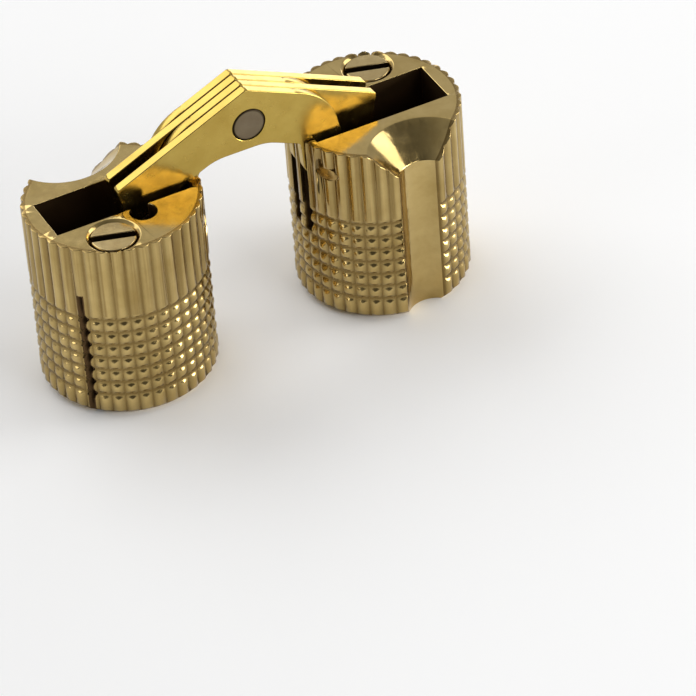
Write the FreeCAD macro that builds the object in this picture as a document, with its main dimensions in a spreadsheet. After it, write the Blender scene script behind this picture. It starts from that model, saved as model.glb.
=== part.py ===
import FreeCAD, Part
import os
import re
import Sketcher

doc = FreeCAD.newDocument("barrel_hinge")
vec = FreeCAD.Vector

# Driving dimensions
sheet = doc.addObject("Spreadsheet::Sheet", "Dims")
sizes = {
    "barrel_radius": "7 mm",
    "barrel_length": "16 mm",
    "edge_chamfer": "0.6 mm",
    "rim_width": "1.7 mm",
    "dish_depth": "1.6 mm",
    "ridge_count": "40",
    "groove_half_width": "0.2 mm",
    "groove_depth": "0.26 mm",
    "side_gap": "0.5 mm",
    "back_wall": "1.45 mm",
    "front_wall": "1.1 mm",
    "pocket_depth": "12.4 mm",
    "slit_half_width": "0.5 mm",
    "slit_depth": "9 mm",
    "relief_radius": "1.05 mm",
    "relief_front": "1.3 mm",
    "relief_bite": "0.25 mm",
    "relief_depth": "5 mm",
    "flute_radius": "2.12 mm",
    "flute_back": "0.6 mm",
    "flute_stand": "0.75 mm",
    "flare_radius": "4.5 mm",
    "kerf_half_width": "0.2 mm",
    "kerf_height": "11.5 mm",
    "screw_back": "1.95 mm",
    "screw_inset": "0.12 mm",
    "screw_radius": "1.25 mm",
    "screw_length": "15.2 mm",
    "screw_tip": "0.35 mm",
    "head_rim": "0.25 mm",
    "head_sink": "0.05 mm",
    "slot_half_width": "0.32 mm",
    "slot_depth": "0.75 mm",
    "slot_angle": "18 deg",
    "thread_clearance": "0.05 mm",
    "head_clearance": "0.08 mm",
    "pin_radius": "0.55 mm",
    "pin_drop": "2.2 mm",
    "pin_sink": "0.08 mm",
    "pivot_clearance": "0.04 mm",
    "pivot_reach": "5.3 mm",
    "rivet_radius": "1.35 mm",
    "rivet_rise": "3.4 mm",
    "plate_pitch": "0.85 mm",
    "plate_thickness": "0.77 mm",
    "arm_angle": "24.5 deg",
    "arm_width": "3.7 mm",
    "peak_rise": "3.27 mm",
    "tail_past_axis": "0.15 mm",
    "tail_slant": "0.87 mm",
    "tail_round": "0.35 mm",
    "peak_round": "0.4 mm",
    "arch_drop": "2.2 mm",
    "arch_back": "1.3 mm",
    "arch_round": "4 mm",
    "heel_radius": "1 mm",
    "heel_round": "1.2 mm",
    "heel_shoulder": "4.2 mm",
    "heel_top_reach": "7.35 mm",
    "heel_top_drop": "1.75 mm",
    "heel_low_reach": "7.8 mm",
    "heel_low_drop": "3.95 mm",
    "heel_arch_reach": "4.2 mm",
    "heel_arch_drop": "3.5 mm",
    # Sizes that follow from the ones above
    "pocket_half_width": "=2 * plate_pitch + side_gap",
    "pocket_back": "=barrel_radius - back_wall",
    "pocket_front": "=barrel_radius - front_wall",
    "dish_radius": "=barrel_radius - rim_width",
    "relief_side": "=pocket_half_width + relief_radius - relief_bite",
    "flute_side": "=barrel_radius + flute_stand",
    "screw_side": "=(barrel_radius + pocket_half_width) / 2 - screw_inset",
    "head_radius": "=barrel_radius / 4",
    "barrel_spacing": "=2 * (pivot_reach + pocket_front)",
    "tail_reach": "=barrel_spacing / 2 + tail_past_axis",
}
for row, (alias, size) in enumerate(sizes.items(), start=1):
    sheet.set("A%d" % row, alias)
    sheet.set("B%d" % row, size)
    sheet.setAlias("B%d" % row, alias)
doc.recompute()

size_name = re.compile(r"\b(%s)\b" % "|".join(sizes))


def expr(text):
    # Sizes are written as bare names and read from the sheet
    return size_name.sub(r"Dims.\1", text)


def value(text):
    return sheet.evalExpression(expr(text)).Value


def bind(thing, prop, text):
    thing.setExpression(prop, expr(text))


def new_body(label):
    body = doc.addObject("PartDesign::Body", label)
    body.Label = label
    return body


def origin_part(body, role):
    return next(item for item in body.Origin.OriginFeatures if item.Role == role)


def new_sketch(body, name, role="XY_Plane", offset=None):
    sketch = body.newObject("Sketcher::SketchObject", name)
    sketch.AttachmentSupport = [(origin_part(body, role), "")]
    sketch.MapMode = "FlatFace"
    if offset:
        bind(sketch, "AttachmentOffset.Base.z", offset)
    return sketch


def constrain(sketch, name, text, *args):
    index = sketch.addConstraint(Sketcher.Constraint(*args, value(text)))
    sketch.renameConstraint(index, name)
    bind(sketch, "Constraints." + name, text)


def fix_point(sketch, geo, pos, name, x, y):
    constrain(sketch, name + "X", x, "DistanceX", -1, 1, geo, pos)
    constrain(sketch, name + "Y", y, "DistanceY", -1, 1, geo, pos)


def polygon(sketch, points):
    # A point is x, y and, for a rounded corner, its radius
    count = len(points)
    corner = [vec(value(point[0]), value(point[1]), 0) for point in points]
    for i in range(count):
        sketch.addGeometry(Part.LineSegment(corner[i], corner[(i + 1) % count]))
    for i in range(count):
        sketch.addConstraint(Sketcher.Constraint("Coincident", i, 2, (i + 1) % count, 1))
    for i, (x, y, *radius) in enumerate(points):
        name = "p%d" % i
        if not radius:
            fix_point(sketch, i, 1, name, x, y)
            continue
        arc = sketch.GeometryCount
        sketch.fillet(i, 1, value(radius[0]), True, True)
        fix_point(sketch, arc + 1, 1, name, x, y)
        constrain(sketch, name + "R", radius[0], "Radius", arc)


def rectangle(sketch, x0, x1, y0, y1):
    polygon(sketch, [(x0, y0), (x1, y0), (x1, y1), (x0, y1)])


def circle(sketch, x, y, radius):
    centre = vec(value(x), value(y), 0)
    geo = sketch.addGeometry(Part.Circle(centre, vec(0, 0, 1), value(radius)))
    fix_point(sketch, geo, 3, "centre%d" % geo, x, y)
    constrain(sketch, "radius%d" % geo, radius, "Radius", geo)


def pad(body, sketch, length, symmetric=False):
    feature = body.newObject("PartDesign::Pad", sketch.Name + "_pad")
    feature.Profile = sketch
    bind(feature, "Length", length)
    if symmetric:
        feature.SideType = "Symmetric"
    sketch.Visibility = False
    return feature


def pocket(body, sketch, length=None, symmetric=False):
    feature = body.newObject("PartDesign::Pocket", sketch.Name + "_cut")
    feature.Profile = sketch
    if length:
        bind(feature, "Length", length)
    else:
        feature.Type = "ThroughAll"
    if symmetric:
        feature.SideType = "Symmetric"
    sketch.Visibility = False
    return feature


def turned(body, kind, sketch):
    feature = body.newObject("PartDesign::" + kind, sketch.Name + "_turn")
    feature.Profile = sketch
    feature.ReferenceAxis = (sketch, ["V_Axis"])
    feature.Angle = 360
    sketch.Visibility = False
    return feature


def cone_cut(body, name, low, high, height, x, y, top):
    # A conical cut whose wide end is level with the face
    cone = body.newObject("PartDesign::SubtractiveCone", name)
    cone.AttachmentSupport = [(origin_part(body, "XY_Plane"), "")]
    cone.MapMode = "FlatFace"
    bind(cone, "Radius1", low)
    bind(cone, "Radius2", high)
    bind(cone, "Height", height)
    bind(cone, "AttachmentOffset.Base.x", x)
    bind(cone, "AttachmentOffset.Base.y", y)
    bind(cone, "AttachmentOffset.Base.z", "%s - (%s)" % (top, height))


def place(thing, half_turn, x, y="0 mm", z="0 mm"):
    # The right-hand pieces are the left-hand ones turned half round the upright middle line
    sign = "" if half_turn else "-"
    angle = 180 if half_turn else 0
    thing.Placement = FreeCAD.Placement(vec(), FreeCAD.Rotation(vec(0, 0, 1), angle))
    bind(thing, "Placement.Base.x", "%s(%s)" % (sign, x))
    bind(thing, "Placement.Base.y", "%s(%s)" % ("-" if half_turn else "", y))
    bind(thing, "Placement.Base.z", z)


# Barrels
def barrel(label, half_turn):
    body = new_body(label)

    blank = new_sketch(body, label + "_blank", "XZ_Plane")
    polygon(blank, [
        ("0 mm", "dish_depth"),
        ("dish_radius", "dish_depth"),
        ("dish_radius", "0 mm"),
        ("barrel_radius - edge_chamfer", "0 mm"),
        ("barrel_radius", "edge_chamfer"),
        ("barrel_radius", "barrel_length"),
        ("0 mm", "barrel_length"),
    ])
    turned(body, "Revolution", blank)

    link_pocket = new_sketch(body, label + "_pocket", "XY_Plane", "barrel_length")
    rectangle(link_pocket, "-pocket_back", "pocket_front", "-pocket_half_width", "pocket_half_width")
    pocket(body, link_pocket, "pocket_depth")

    for number, band in (("one", "-0.5 * plate_pitch"), ("two", "1.5 * plate_pitch")):
        slit = new_sketch(body, label + "_slit_" + number, "XY_Plane", "barrel_length")
        rectangle(slit, "pocket_front - slit_half_width", "barrel_radius + slit_half_width",
                  band + " - slit_half_width", band + " + slit_half_width")
        pocket(body, slit, "slit_depth")

    pin_hole = new_sketch(body, label + "_pin_hole", "XZ_Plane")
    circle(pin_hole, "pocket_front", "barrel_length - pin_drop", "pin_radius")
    pocket(body, pin_hole, symmetric=True)

    relief = new_sketch(body, label + "_relief", "XY_Plane", "barrel_length")
    circle(relief, "relief_front", "-relief_side", "relief_radius")
    pocket(body, relief, "relief_depth")

    screw_hole = new_sketch(body, label + "_screw_hole", "XY_Plane", "barrel_length")
    circle(screw_hole, "-screw_back", "-screw_side", "screw_radius + thread_clearance")
    pocket(body, screw_hole)
    cone_cut(body, label + "_countersink", "screw_radius + thread_clearance",
             "head_radius + head_clearance + head_rim",
             "head_radius + head_clearance + head_rim - screw_radius - thread_clearance",
             "-screw_back", "-screw_side", "barrel_length")

    kerf = new_sketch(body, label + "_kerf", "XY_Plane", "kerf_height")
    rectangle(kerf, "-barrel_radius - kerf_half_width", "-screw_back",
              "-screw_side - kerf_half_width", "-screw_side + kerf_half_width")
    pocket(body, kerf)

    flute = new_sketch(body, label + "_flute", "XY_Plane", "barrel_length")
    circle(flute, "-flute_back", "flute_side", "flute_radius")
    pocket(body, flute)
    cone_cut(body, label + "_flare", "flute_radius", "flare_radius", "flare_radius - flute_radius",
             "-flute_back", "flute_side", "barrel_length")

    groove = new_sketch(body, label + "_groove", "XY_Plane", "barrel_length")
    polygon(groove, [
        ("barrel_radius - groove_depth", "0 mm"),
        ("barrel_radius + groove_depth", "-2 * groove_half_width"),
        ("barrel_radius + groove_depth", "2 * groove_half_width"),
    ])
    first_groove = pocket(body, groove)
    doc.recompute()
    ridges = body.newObject("PartDesign::PolarPattern", label + "_ridges")
    ridges.Originals = [first_groove]
    ridges.Axis = (groove, ["N_Axis"])
    ridges.Angle = 360
    bind(ridges, "Occurrences", "ridge_count")
    body.Tip = ridges
    doc.recompute()

    place(body, half_turn, "barrel_spacing / 2")
    return body


# Pivot pins, cut flush with the barrel's side
def pivot_pin(label, half_turn):
    rod = doc.addObject("Part::Cylinder", label + "_rod")
    bind(rod, "Radius", "pin_radius")
    bind(rod, "Height", "2 * barrel_radius")
    rod.Placement = FreeCAD.Placement(vec(), FreeCAD.Rotation(vec(1, 0, 0), -90))
    bind(rod, "Placement.Base.x", "pocket_front")
    bind(rod, "Placement.Base.y", "-barrel_radius")
    bind(rod, "Placement.Base.z", "barrel_length - pin_drop")
    skin = doc.addObject("Part::Cylinder", label + "_skin")
    bind(skin, "Radius", "barrel_radius - pin_sink")
    bind(skin, "Height", "barrel_length")
    pin = doc.addObject("Part::Common", label)
    pin.Base = rod
    pin.Tool = skin
    pin.Label = label
    place(pin, half_turn, "barrel_spacing / 2")
    return pin


# Locking screws
def locking_screw(label, half_turn):
    body = new_body(label)
    profile = new_sketch(body, label + "_profile", "XZ_Plane")
    polygon(profile, [
        ("0 mm", "-screw_length"),
        ("screw_radius - screw_tip", "-screw_length"),
        ("screw_radius", "screw_tip - screw_length"),
        ("screw_radius", "screw_radius - head_radius - head_rim"),
        ("head_radius", "-head_rim"),
        ("head_radius", "0 mm"),
        ("0 mm", "0 mm"),
    ])
    turned(body, "Revolution", profile)
    slot = new_sketch(body, label + "_slot")
    along_x = "%s2 * head_radius * cos(slot_angle) %s slot_half_width * sin(slot_angle)"
    along_y = "%s2 * head_radius * sin(slot_angle) %s slot_half_width * cos(slot_angle)"
    polygon(slot, [
        (along_x % ("-", "-"), along_y % ("", "-")),
        (along_x % ("", "-"), along_y % ("-", "-")),
        (along_x % ("", "+"), along_y % ("-", "+")),
        (along_x % ("-", "+"), along_y % ("", "+")),
    ])
    pocket(body, slot, "slot_depth")
    place(body, half_turn, "barrel_spacing / 2 + screw_back", "-screw_side", "barrel_length - head_sink")
    return body


# Link plates, drawn about the centre rivet with the tail towards +X
def link_plate(label, half_turn, band):
    top = "peak_rise - %s * tan(arm_angle)"
    low = top + " - arm_width / cos(arm_angle)"
    arch_front = "(peak_rise + arch_drop - arm_width / cos(arm_angle)) / tan(arm_angle)"
    tail_low = "(tail_reach - tail_slant)"
    pivot_x = "-pivot_reach"
    pivot_z = "-rivet_rise - pin_drop"
    body = new_body(label)
    outline = new_sketch(body, label + "_outline", "XZ_Plane")
    polygon(outline, [
        ("0 mm", "peak_rise", "peak_round"),
        ("-heel_shoulder", top % "heel_shoulder", "heel_round"),
        ("-heel_top_reach", "-heel_top_drop", "heel_round"),
        ("-heel_low_reach", "-heel_low_drop", "heel_round"),
        (pivot_x + " - 0.8 * heel_radius", pivot_z + " - 0.6 * heel_radius"),
        (pivot_x, pivot_z),
        (pivot_x + " + heel_radius", pivot_z),
        ("-heel_arch_reach", "-heel_arch_drop", "heel_round / 2"),
        ("-arch_back", "-arch_drop", "arch_round"),
        (arch_front, "-arch_drop", "arch_round"),
        (tail_low, low % tail_low, "tail_round / 2"),
        ("tail_reach", top % "tail_reach", "tail_round"),
    ])
    pad(body, outline, "plate_thickness", symmetric=True)
    heel = new_sketch(body, label + "_heel", "XZ_Plane")
    circle(heel, pivot_x, pivot_z, "heel_radius")
    pad(body, heel, "plate_thickness", symmetric=True)
    holes = new_sketch(body, label + "_holes", "XZ_Plane")
    circle(holes, pivot_x, pivot_z, "pin_radius + pivot_clearance")
    circle(holes, "0 mm", "0 mm", "rivet_radius" if not half_turn else "rivet_radius + pivot_clearance")
    pocket(body, holes, symmetric=True)
    place(body, half_turn, "0 mm", band, "barrel_length + rivet_rise")
    return body


pieces = [
    barrel("left_barrel", False),
    barrel("right_barrel", True),
    pivot_pin("left_pivot_pin", False),
    pivot_pin("right_pivot_pin", True),
    locking_screw("left_locking_screw", False),
    locking_screw("right_locking_screw", True),
    link_plate("link_a_inner", False, "-0.5 * plate_pitch"),
    link_plate("link_a_outer", False, "1.5 * plate_pitch"),
    link_plate("link_b_inner", True, "-0.5 * plate_pitch"),
    link_plate("link_b_outer", True, "1.5 * plate_pitch"),
]

# Centre rivet, flush with the stack of plates
rivet = doc.addObject("Part::Cylinder", "centre_rivet")
rivet.Label = "centre_rivet"
bind(rivet, "Radius", "rivet_radius")
bind(rivet, "Height", "3 * plate_pitch + plate_thickness")
rivet.Placement = FreeCAD.Placement(vec(), FreeCAD.Rotation(vec(1, 0, 0), -90))
bind(rivet, "Placement.Base.y", "-1.5 * plate_pitch - plate_thickness / 2")
bind(rivet, "Placement.Base.z", "barrel_length + rivet_rise")
pieces.append(rivet)

doc.recompute()

for item in doc.Objects:
    if "Invalid" in item.State or "Error" in item.State:
        raise RuntimeError("%s is in error" % item.Name)

os.makedirs("parts", exist_ok=True)
for piece in pieces:
    shape = piece.Shape
    if shape.isNull() or not shape.isValid() or len(shape.Solids) != 1:
        raise RuntimeError("%s is not one valid solid" % piece.Label)
    shape.exportStep("parts/%s.step" % piece.Label)
    box = shape.BoundBox
    print("%-20s volume %8.2f  x %7.2f %7.2f  y %6.2f %6.2f  z %6.2f %6.2f" % (
        piece.Label, shape.Volume, box.XMin, box.XMax, box.YMin, box.YMax, box.ZMin, box.ZMax))
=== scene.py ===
import bmesh
import bpy
from math import atan2, copysign, cos, hypot, pi, radians, sin, sqrt
from mathutils import Matrix, Vector


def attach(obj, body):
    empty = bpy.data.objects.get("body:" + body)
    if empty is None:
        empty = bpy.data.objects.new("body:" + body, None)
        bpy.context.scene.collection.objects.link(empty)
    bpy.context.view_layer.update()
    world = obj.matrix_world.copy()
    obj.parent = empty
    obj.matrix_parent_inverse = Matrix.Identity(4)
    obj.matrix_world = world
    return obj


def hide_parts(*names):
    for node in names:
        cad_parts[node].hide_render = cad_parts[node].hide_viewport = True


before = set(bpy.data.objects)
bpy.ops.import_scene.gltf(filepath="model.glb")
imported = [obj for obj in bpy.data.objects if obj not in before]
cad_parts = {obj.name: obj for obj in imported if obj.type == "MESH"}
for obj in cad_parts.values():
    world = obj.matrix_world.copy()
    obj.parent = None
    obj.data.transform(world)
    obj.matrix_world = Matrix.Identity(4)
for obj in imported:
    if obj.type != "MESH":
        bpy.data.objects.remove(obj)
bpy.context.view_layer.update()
mm = 0.001
barrelAxis = 11.2 * mm    # from the middle of the hinge to the axis of each barrel
screwPlace = (13.15 * mm, 4.48 * mm)    # of the right locking screw, with the left one opposite
kerfTop = 11.6 * mm
skinFrom = 6.6 * mm    # the knurl lies outside this radius
samePlace = 1e-8    # metres
print("frame loaded")


# Node helpers
def addNode(tree, kind, **values):
    node = tree.nodes.new(kind)
    for name, value in values.items():
        if hasattr(node, name):
            setattr(node, name, value)
        else:
            node.inputs[name.replace("_", " ")].default_value = value
    return node


def newGroup(name, inputs, outputs):
    group = bpy.data.node_groups.new(name, "ShaderNodeTree")
    for label, kind in inputs:
        group.interface.new_socket(label, in_out="INPUT", socket_type=kind)
    for label, kind in outputs:
        group.interface.new_socket(label, in_out="OUTPUT", socket_type=kind)
    return group, addNode(group, "NodeGroupInput"), addNode(group, "NodeGroupOutput")


def objectPlace(tree, scale, centre=(0, 0, 0)):
    # Object coordinates in metres, centred and stretched
    coordinates = addNode(tree, "ShaderNodeTexCoord")
    place = addNode(tree, "ShaderNodeMapping", vector_type="TEXTURE", Location=centre,
                    Scale=[1 / part for part in scale])
    tree.links.new(coordinates.outputs["Object"], place.inputs["Vector"])
    return place.outputs["Vector"]


def objectParts(tree):
    parts = addNode(tree, "ShaderNodeSeparateXYZ")
    coordinates = addNode(tree, "ShaderNodeTexCoord")
    tree.links.new(coordinates.outputs["Object"], parts.inputs["Vector"])
    return [parts.outputs[label] for label in "XYZ"]


def mathNode(tree, operation, first, second=None):
    node = addNode(tree, "ShaderNodeMath", operation=operation)
    for socket, given in zip(node.inputs, (first, second)):
        if isinstance(given, (int, float)):
            socket.default_value = given
        elif given is not None:
            tree.links.new(given, socket)
    return node.outputs["Value"]


def spread(tree, source, low, high, most=1):
    # Stretches a value so that low becomes 0 and high becomes most
    node = addNode(tree, "ShaderNodeMapRange", From_Min=low, From_Max=high, To_Max=most)
    tree.links.new(source, node.inputs["Value"])
    return node.outputs["Result"]


# Polished metal with faint tarnish, handling marks and a fine grain
def makeMetalFinish():
    finish = {"tarnishSize": 2.6 * mm, "tarnishRoughness": 0.62, "tarnishRange": (0.36, 0.7),
              "markSize": 0.7 * mm, "markRoughness": 0.55, "markRange": (0.3, 0.75),
              "grainSize": 0.05 * mm, "grainLength": 12, "grainWeight": 0.2}
    group, given, put = newGroup(
        "metalFinish",
        [("Clean", "NodeSocketColor"), ("Tarnished", "NodeSocketColor"),
         ("Smoothest", "NodeSocketFloat"), ("Roughest", "NodeSocketFloat")],
        [("Color", "NodeSocketColor"), ("Roughness", "NodeSocketFloat"), ("Height", "NodeSocketFloat")])
    links = group.links

    plain = objectPlace(group, (1, 1, 1))
    tarnish = addNode(group, "ShaderNodeTexNoise", Scale=1 / finish["tarnishSize"], Detail=5,
                      Roughness=finish["tarnishRoughness"])
    links.new(plain, tarnish.inputs["Vector"])
    tone = addNode(group, "ShaderNodeMix", data_type="RGBA")
    links.new(spread(group, tarnish.outputs["Fac"], *finish["tarnishRange"]), tone.inputs["Factor"])
    links.new(given.outputs["Clean"], tone.inputs["A"])
    links.new(given.outputs["Tarnished"], tone.inputs["B"])
    links.new(tone.outputs["Result"], put.inputs["Color"])

    marks = addNode(group, "ShaderNodeTexNoise", Scale=1 / finish["markSize"], Detail=3,
                    Roughness=finish["markRoughness"])
    links.new(plain, marks.inputs["Vector"])
    lowMark, highMark = finish["markRange"]
    sheen = addNode(group, "ShaderNodeMapRange", From_Min=lowMark, From_Max=highMark)
    links.new(marks.outputs["Fac"], sheen.inputs["Value"])
    links.new(given.outputs["Smoothest"], sheen.inputs["To Min"])
    links.new(given.outputs["Roughest"], sheen.inputs["To Max"])
    links.new(sheen.outputs["Result"], put.inputs["Roughness"])

    grain = addNode(group, "ShaderNodeTexNoise", Scale=1 / finish["grainSize"], Detail=3)
    links.new(objectPlace(group, (1 / finish["grainLength"], 1, 1)), grain.inputs["Vector"])
    grainHeight = mathNode(group, "MULTIPLY", grain.outputs["Fac"], finish["grainWeight"])
    links.new(mathNode(group, "ADD", grainHeight, marks.outputs["Fac"]), put.inputs["Height"])
    return group


metalFinish = makeMetalFinish()


def makeMetal(name, look):
    bumpStrength = 0.25
    material = bpy.data.materials.new(name)
    material.use_nodes = True
    tree = material.node_tree
    shader = tree.nodes["Principled BSDF"]
    shader.inputs["Metallic"].default_value = 1
    finish = addNode(tree, "ShaderNodeGroup", node_tree=metalFinish, Clean=(*look["clean"], 1),
                     Tarnished=(*look["tarnished"], 1), Smoothest=look["smoothest"],
                     Roughest=look["roughest"])
    bump = addNode(tree, "ShaderNodeBump", Strength=bumpStrength, Distance=look["relief"])
    tree.links.new(finish.outputs["Color"], shader.inputs["Base Color"])
    tree.links.new(finish.outputs["Roughness"], shader.inputs["Roughness"])
    tree.links.new(finish.outputs["Height"], bump.inputs["Height"])
    tree.links.new(bump.outputs["Normal"], shader.inputs["Normal"])
    return material


# Mixes a darker colour and another roughness into a metal by a mask
def darken(material, mask, colour, roughness):
    tree = material.node_tree
    shader = tree.nodes["Principled BSDF"]
    for label, kind, darker in (("Base Color", "RGBA", (*colour, 1)), ("Roughness", "FLOAT", roughness)):
        mix = addNode(tree, "ShaderNodeMix", data_type=kind)
        tree.links.new(mask, mix.inputs["Factor"])
        tree.links.new(shader.inputs[label].links[0].from_socket, mix.inputs["A"])
        mix.inputs["B"].default_value = darker
        tree.links.new(mix.outputs["Result"], shader.inputs[label])


# Barrel brass, with painted shade in the grooves, streaks on the plain ridges, and painted shade over
# oxidised walls in the hollows
def makeBarrelBrass():
    look = {"clean": (0.56, 0.415, 0.17), "tarnished": (0.45, 0.32, 0.115),
            "smoothest": 0.08, "roughest": 0.2, "relief": 0.02 * mm}
    groove = {"crest": 6.985 * mm, "bottom": 6.73 * mm, "most": 0.8,
              "dark": (0.16, 0.10, 0.03), "roughness": 0.34}
    streak = {"size": 0.45 * mm, "squeeze": 0.03, "range": (0.46, 0.64), "most": 0.65, "from": 9.8 * mm,
              "dark": (0.24, 0.155, 0.05), "roughness": 0.25}
    hollow = {"pocketHalf": 2.25 * mm, "kerfHalf": 0.24 * mm, "reliefOut": -1.3 * mm, "reliefSide": 3 * mm,
              "reliefRadius": 1.1 * mm, "from": 3 * mm, "to": 15.93 * mm,
              "dark": (0.12, 0.07, 0.03), "roughness": 0.5}
    material = makeMetal("barrelBrass", look)
    tree = material.node_tree
    x, y, z = objectParts(tree)

    def work(operation, first, second=None):
        return mathNode(tree, operation, first, second)

    def distance(first, second):
        squares = [work("POWER", work("ABSOLUTE", part), 2) for part in (first, second)]
        return work("SQRT", work("ADD", *squares))

    out = work("SUBTRACT", work("ABSOLUTE", x), barrelAxis)    # away from the other barrel
    side = work("MULTIPLY", y, work("SIGN", x))    # towards the locking screw
    reach = distance(out, side)
    onSkin = work("GREATER_THAN", reach, skinFrom)
    # Painted shade: darker and rougher the deeper a point lies in the grooves and cross cuts of the skin
    depth = spread(tree, reach, groove["crest"], groove["bottom"])
    grooveShade = work("MULTIPLY", work("MULTIPLY", depth, onSkin), groove["most"])
    darken(material, grooveShade, groove["dark"], groove["roughness"])

    noise = addNode(tree, "ShaderNodeTexNoise", Scale=1 / streak["size"], Detail=2)
    tree.links.new(objectPlace(tree, (1, 1, streak["squeeze"])), noise.inputs["Vector"])
    streaks = spread(tree, noise.outputs["Fac"], *streak["range"], streak["most"])
    plainRidges = work("MULTIPLY", onSkin, work("GREATER_THAN", z, streak["from"]))
    darken(material, work("MULTIPLY", streaks, plainRidges), streak["dark"], streak["roughness"])

    # Painted shade, over the oxidised machined walls, inside the pocket, the relief and the kerf, up to just
    # under the face
    pocket = work("LESS_THAN", work("ABSOLUTE", side), hollow["pocketHalf"])
    fromRelief = distance(work("SUBTRACT", out, hollow["reliefOut"]),
                          work("SUBTRACT", side, hollow["reliefSide"]))
    relief = work("LESS_THAN", fromRelief, hollow["reliefRadius"])
    underSkin = work("LESS_THAN", reach, skinFrom)
    aboveEnd = work("GREATER_THAN", z, hollow["from"])
    inPocket = work("MULTIPLY", work("MAXIMUM", pocket, relief), work("MULTIPLY", underSkin, aboveEnd))
    fromKerf = work("ABSOLUTE", work("SUBTRACT", side, screwPlace[1]))
    kerfSide = work("MULTIPLY", work("LESS_THAN", z, kerfTop), work("GREATER_THAN", out, 0))
    inKerf = work("MULTIPLY", work("LESS_THAN", fromKerf, hollow["kerfHalf"]), kerfSide)
    belowFace = work("LESS_THAN", z, hollow["to"])
    hollowShadeAndOxide = work("MULTIPLY", work("MAXIMUM", inPocket, inKerf), belowFace)
    darken(material, hollowShadeAndOxide, hollow["dark"], hollow["roughness"])
    return material


# Rivet steel, with a dark ring where its edge meets the plate
def makeRivetSteel():
    look = {"clean": (0.19, 0.15, 0.095), "tarnished": (0.14, 0.105, 0.065),
            "smoothest": 0.3, "roughest": 0.5, "relief": 0.03 * mm}
    ring = {"centre": 19.4 * mm, "from": 1.16 * mm, "to": 1.27 * mm, "flatten": 0.001,
            "dark": (0.03, 0.022, 0.012), "roughness": 0.5}
    material = makeMetal("rivetSteel", look)
    tree = material.node_tree
    reach = addNode(tree, "ShaderNodeVectorMath", operation="LENGTH")
    flat = objectPlace(tree, (1, ring["flatten"], 1), centre=(0, 0, ring["centre"]))
    tree.links.new(flat, reach.inputs["Vector"])
    edge = spread(tree, reach.outputs["Value"], ring["from"], ring["to"])
    darken(material, edge, ring["dark"], ring["roughness"])
    return material


# Screw brass, with painted shade in the driver slot
def makeScrewBrass():
    look = {"clean": (0.56, 0.43, 0.21), "tarnished": (0.43, 0.31, 0.13),
            "smoothest": 0.14, "roughest": 0.28, "relief": 0.02 * mm}
    slot = {"from": 14.95 * mm, "to": 15.84 * mm, "dark": (0.04, 0.025, 0.012), "roughness": 0.5}
    material = makeMetal("screwBrass", look)
    tree = material.node_tree
    height = objectParts(tree)[2]
    # Painted shade inside the driver slot and under the head
    slotShade = mathNode(tree, "MULTIPLY", mathNode(tree, "GREATER_THAN", height, slot["from"]),
                      mathNode(tree, "LESS_THAN", height, slot["to"]))
    darken(material, slotShade, slot["dark"], slot["roughness"])
    return material


linkLook = {"clean": (0.50, 0.355, 0.085), "tarnished": (0.42, 0.285, 0.06),
            "smoothest": 0.16, "roughest": 0.30, "relief": 0.01 * mm}
pinLook = {"clean": (0.46, 0.32, 0.12), "tarnished": (0.36, 0.24, 0.08),
           "smoothest": 0.16, "roughest": 0.30, "relief": 0.02 * mm}
barrelBrass = makeBarrelBrass()
linkBrass = makeMetal("linkBrass", linkLook)
screwBrass = makeScrewBrass()
pinBrass = makeMetal("pinBrass", pinLook)
rivetSteel = makeRivetSteel()
print("materials made")


# Pieces start from a merged copy of a CAD node, whose flat faces are made whole
def cadCopy(nodeName):
    clean = {"merge": 0.004 * mm, "flat": 0.5}
    shape = bmesh.new()
    shape.from_mesh(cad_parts[nodeName].data)
    bmesh.ops.remove_doubles(shape, verts=shape.verts, dist=clean["merge"])
    bmesh.ops.dissolve_limit(shape, angle_limit=radians(clean["flat"]), verts=shape.verts, edges=shape.edges)
    return shape


def cutThrough(shape, place, normal, **more):
    everything = shape.verts[:] + shape.edges[:] + shape.faces[:]
    return bmesh.ops.bisect_plane(shape, geom=everything, plane_co=place, plane_no=normal,
                                  dist=samePlace, **more)


# Rounds the crisp edges of a shape, but not those between two of its skin faces
def addPiece(shape, name, nodeName, body, material, softEdge, skinFaces=()):
    edges = {"crispFrom": 28, "segments": 2, "faceWeight": 100}
    bmesh.ops.recalc_face_normals(shape, faces=shape.faces)
    skin = set(skinFaces)
    weight = shape.edges.layers.float.new("bevel_weight_edge")
    for edge in shape.edges:
        crisp = edge.is_manifold and edge.calc_face_angle() > radians(edges["crispFrom"])
        if crisp and not skin.issuperset(edge.link_faces):
            edge[weight] = 1
    for face in shape.faces:
        face.smooth = True
    mesh = bpy.data.meshes.new(name)
    shape.to_mesh(mesh)
    shape.free()
    piece = bpy.data.objects.new(name, mesh)
    bpy.context.collection.objects.link(piece)
    mesh.materials.append(material)
    bevel = piece.modifiers.new("softEdges", "BEVEL")
    bevel.width = softEdge
    bevel.segments = edges["segments"]
    bevel.limit_method = "WEIGHT"
    bevel.miter_outer = "MITER_ARC"
    bevel.use_clamp_overlap = False
    flatten = piece.modifiers.new("flatFaces", "WEIGHTED_NORMAL")
    flatten.weight = edges["faceWeight"]
    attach(piece, body)
    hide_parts(nodeName)
    return piece


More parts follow.
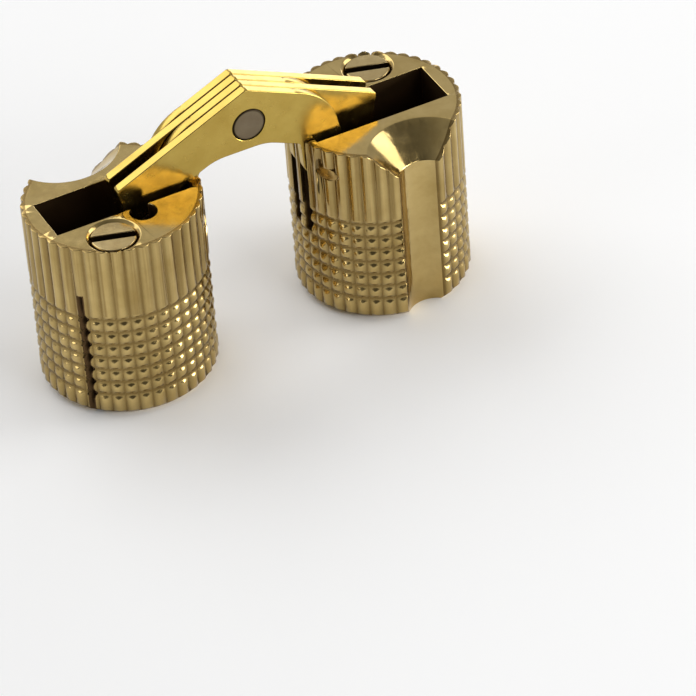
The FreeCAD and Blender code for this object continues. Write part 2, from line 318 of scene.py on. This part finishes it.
# Barrels, with rounded ridges and the cross cuts that turn their lower half into rows of bumps
def makeBarrel(side, axis):
    knurl = {"ridges": 40, "radius": 7 * mm, "ridgeDepth": 0.26 * mm, "cuts": 7, "firstCut": 2.05 * mm,
             "pitch": 1.21 * mm, "halfWidth": 0.46 * mm, "cutDepth": 0.28 * mm,
             "planes": (-1, -0.5, 0, 0.5, 1), "kerfHalf": 0.2 * mm, "nearKerf": 0.01 * mm,
             "facingOut": 0.4, "softEdge": 0.05 * mm}
    shape = cadCopy(side + "_barrel")
    step = 2 * pi / knurl["ridges"]
    for number in range(knurl["ridges"] // 2):
        angle = (number + 0.5) * step
        cutThrough(shape, (axis, 0, 0), (-sin(angle), cos(angle), 0))    # through two opposite ridges
    middles = [knurl["firstCut"] + number * knurl["pitch"] for number in range(knurl["cuts"])]
    for middle in middles:
        for offset in knurl["planes"]:
            cutThrough(shape, (0, 0, middle + offset * knurl["halfWidth"]), (0, 0, 1))

    kerfAt = copysign(screwPlace[1], axis)
    # Draws the skin in to the bottom of a rounded groove or cross cut
    for vert in shape.verts:
        across, along = vert.co.x - axis, vert.co.y
        reach = hypot(across, along)
        turn = atan2(along, across) / step
        fromGroove = 2 * abs(turn - round(turn))
        fromCut = min(abs(vert.co.z - middle) for middle in middles) / knurl["halfWidth"]
        ridge = knurl["ridgeDepth"] * (1 - fromGroove) ** 2
        cut = knurl["cutDepth"] * (1 + cos(pi * min(fromCut, 1))) / 2
        skin = knurl["radius"] - max(ridge, cut)
        fromWall = abs(abs(along - kerfAt) - knurl["kerfHalf"])
        if reach > skin and fromWall < knurl["nearKerf"] and vert.co.z < kerfTop:
            vert.co.x = axis + copysign(sqrt(skin ** 2 - along ** 2), across)    # along the kerf's flat walls
        elif reach > skin:
            vert.co.x = axis + across * skin / reach
            vert.co.y = along * skin / reach

    def isSkin(face):
        if min(hypot(vert.co.x - axis, vert.co.y) for vert in face.verts) < skinFrom:
            return False
        middle = face.calc_center_median()
        outward = Vector((middle.x - axis, middle.y, 0)).normalized()
        return abs(face.normal.dot(outward)) > knurl["facingOut"]

    skinFaces = [face for face in shape.faces if isSkin(face)]
    return addPiece(shape, side + "BarrelKnurled", side + "_barrel", side + "_half",
                    barrelBrass, knurl["softEdge"], skinFaces)


for side, axis in (("left", -barrelAxis), ("right", barrelAxis)):
    makeBarrel(side, axis)
print("barrels made")


# Links, stamped plates with slightly rounded edges and a full shoulder above the heel
def makeLink(nodeName, body):
    shoulder = {"from": (4.2 * mm, 20.756 * mm), "to": (7.35 * mm, 17.65 * mm), "fullness": 0.52 * mm,
                "cuts": 7, "near": 0.03 * mm, "softEdge": 0.07 * mm}
    shape = cadCopy(nodeName)
    heel = -1 if body == "link_a" else 1
    start, end = (Vector((heel * part[0], 0, part[1])) for part in (shoulder["from"], shoulder["to"]))
    along = (end - start).normalized()
    outward = Vector((-along.z * heel, 0, along.x * heel))
    for number in range(1, shoulder["cuts"] + 1):
        cutThrough(shape, start.lerp(end, number / (shoulder["cuts"] + 1)), along)
    for vert in shape.verts:
        part = (vert.co - start).dot(along) / (end - start).length
        if 0 < part < 1 and abs((vert.co - start).dot(outward)) < shoulder["near"]:
            vert.co += outward * shoulder["fullness"] * 4 * part * (1 - part)
    words = nodeName.split("_")
    name = words[0] + words[1].title() + words[2].title() + "Plate"
    return addPiece(shape, name, nodeName, body, linkBrass, shoulder["softEdge"])


rivetSoftEdge = 0.12 * mm
for nodeName in ("link_a_inner", "link_a_outer", "link_b_inner", "link_b_outer"):
    makeLink(nodeName, nodeName[:6])
addPiece(cadCopy("centre_rivet"), "centreRivetTurned", "centre_rivet", "link_a", rivetSteel,
         rivetSoftEdge)
print("links made")


# Locking screws, whose shank under the slotted head gets a coarse thread
def makeScrew(side, axis):
    thread = {"neck": 14.9 * mm, "core": 1 * mm, "sunkTo": 0.9 * mm, "crest": 1.24 * mm,
              "crestHalf": 0.06 * mm, "pitch": 1.1 * mm, "halfWidth": 0.36 * mm, "turns": 11, "steps": 24,
              "tip": 0.75 * mm, "tipRound": 0.35 * mm, "softEdge": 0.08 * mm}
    shape = cadCopy(side + "_locking_screw")
    cut = cutThrough(shape, (0, 0, thread["neck"]), (0, 0, 1), clear_inner=True)
    rim = [part for part in cut["geom_cut"] if isinstance(part, bmesh.types.BMEdge)]
    core, tip, tipRound = thread["core"], thread["tip"], thread["tipRound"]
    for radius, height in ((core, thread["neck"]), (core, tip + tipRound), (core - tipRound, tip)):
        grown = bmesh.ops.extrude_edge_only(shape, edges=rim)["geom"]
        rim = [part for part in grown if isinstance(part, bmesh.types.BMEdge)]
        for vert in {vert for edge in rim for vert in edge.verts}:
            away = Vector((vert.co.x - axis[0], vert.co.y - axis[1]))
            away *= radius / away.length
            vert.co = (axis[0] + away.x, axis[1] + away.y, height)
    bmesh.ops.edgeloop_fill(shape, edges=rim)

    # One ridge of the thread, wound up the shank
    foot = tip + tipRound + thread["halfWidth"]
    outline = ((thread["sunkTo"], -thread["halfWidth"]), (thread["crest"], -thread["crestHalf"]),
               (thread["crest"], thread["crestHalf"]), (thread["sunkTo"], thread["halfWidth"]))
    corners = [shape.verts.new((axis[0] + reach, axis[1], foot + rise)) for reach, rise in outline]
    ridge = [shape.edges.new((corners[number - 1], corners[number])) for number in range(len(corners))]
    before = set(shape.faces)
    bmesh.ops.spin(shape, geom=corners + ridge, cent=(*axis, 0), axis=(0, 0, 1),
                   steps=thread["turns"] * thread["steps"], angle=2 * pi * thread["turns"],
                   dvec=(0, 0, thread["pitch"] / thread["steps"]))
    bmesh.ops.holes_fill(shape, edges=[edge for edge in shape.edges if edge.is_boundary], sides=4)
    wound = [face for face in shape.faces if face not in before]
    return addPiece(shape, side + "ScrewTurned", side + "_locking_screw", side + "_screw",
                    screwBrass, thread["softEdge"], wound)


pinSoftEdge = 0.06 * mm
for side, way in (("left", -1), ("right", 1)):
    makeScrew(side, (way * screwPlace[0], way * screwPlace[1]))
    addPiece(cadCopy(side + "_pivot_pin"), side + "PinTurned", side + "_pivot_pin", side + "_half",
             pinBrass, pinSoftEdge)
print("screws and pins made")


# Floor, light and camera
def makeFloor():
    paperLook = {"half": 1.5, "white": (0.97, 0.97, 0.97, 1), "roughness": 0.9}
    shape = bmesh.new()
    bmesh.ops.create_grid(shape, x_segments=1, y_segments=1, size=paperLook["half"])
    mesh = bpy.data.meshes.new("floor")
    shape.to_mesh(mesh)
    shape.free()
    floor = bpy.data.objects.new("floor", mesh)
    bpy.context.collection.objects.link(floor)
    paper = bpy.data.materials.new("paper")
    paper.use_nodes = True
    shader = paper.node_tree.nodes["Principled BSDF"]
    shader.inputs["Base Color"].default_value = paperLook["white"]
    shader.inputs["Roughness"].default_value = paperLook["roughness"]
    mesh.materials.append(paper)


def makeLamp(name, place, size, power):
    aim = Vector((0, 0, 10 * mm))    # the middle of the hinge
    lamp = bpy.data.lights.new(name, "AREA")
    lamp.shape = "RECTANGLE"
    lamp.size, lamp.size_y = size
    lamp.energy = power
    holder = bpy.data.objects.new(name, lamp)
    bpy.context.collection.objects.link(holder)
    holder.location = place
    holder.rotation_mode = "QUATERNION"
    holder.rotation_quaternion = (aim - Vector(place)).to_track_quat("-Z", "Y")


# A studio that is brighter behind the object than above the camera
def makeStudio():
    sky = {"front": 0.12, "back": 0.65, "spread": 0.7}
    world = bpy.data.worlds.new("studio")
    bpy.context.scene.world = world
    world.use_nodes = True
    tree = world.node_tree
    background = tree.nodes["Background"]
    direction = addNode(tree, "ShaderNodeSeparateXYZ")
    tree.links.new(addNode(tree, "ShaderNodeTexCoord").outputs["Generated"], direction.inputs["Vector"])
    level = addNode(tree, "ShaderNodeMapRange", From_Min=-sky["spread"], From_Max=sky["spread"],
                    To_Min=sky["front"], To_Max=sky["back"])
    tree.links.new(direction.outputs["Y"], level.inputs["Value"])
    tree.links.new(level.outputs["Result"], background.inputs["Strength"])
    background.inputs["Color"].default_value = (1, 1, 1, 1)


def makeCamera():
    view = {"azimuth": 23.237, "elevation": 37.349, "roll": -4.57, "distance": 380 * mm, "lens": 252.6,
            "target": Vector((0, 0, 9 * mm)), "aimRight": 6.711 * mm, "aimUp": -10.503 * mm,
            "nearest": 10 * mm}
    azimuth, elevation, roll = (radians(view[part]) for part in ("azimuth", "elevation", "roll"))
    ahead = Vector((sin(azimuth) * cos(elevation), cos(azimuth) * cos(elevation), -sin(elevation)))
    right = Vector((cos(azimuth), -sin(azimuth), 0))
    eye = view["target"] - ahead * view["distance"]
    aim = view["target"] + right * view["aimRight"] + right.cross(ahead) * view["aimUp"]
    data = bpy.data.cameras.new("camera")
    data.lens = view["lens"]
    data.clip_start = view["nearest"]
    camera = bpy.data.objects.new("camera", data)
    bpy.context.collection.objects.link(camera)
    turn = (aim - eye).to_track_quat("-Z", "Y").to_matrix() @ Matrix.Rotation(roll, 3, "Z")
    camera.matrix_world = Matrix.Translation(eye) @ turn.to_4x4()
    bpy.context.scene.camera = camera


lamps = {
    "backSoftbox": {"place": (-0.13, 0.36, 0.36), "size": (0.5, 0.35), "power": 1.08},
    "backCard": {"place": (0.33, 0.37, 0.1), "size": (0.25, 0.14), "power": 0.32},
    "rightSoftbox": {"place": (0.5, -0.1, 0.25), "size": (0.3, 0.34), "power": 0.85},
    "frontSoftbox": {"place": (0.18, -0.42, 0.27), "size": (0.22, 0.16), "power": 0.55},
    "lowSoftbox": {"place": (0.41, -0.26, 0.07), "size": (0.36, 0.12), "power": 2.1},
    "leftCard": {"place": (-0.5, -0.05, 0.1), "size": (0.25, 0.1), "power": 0.32},
}
makeFloor()
for name, lamp in lamps.items():
    makeLamp(name, **lamp)
makeStudio()
makeCamera()
bpy.context.scene.view_settings.view_transform = "Standard"
print("floor, light and camera made")
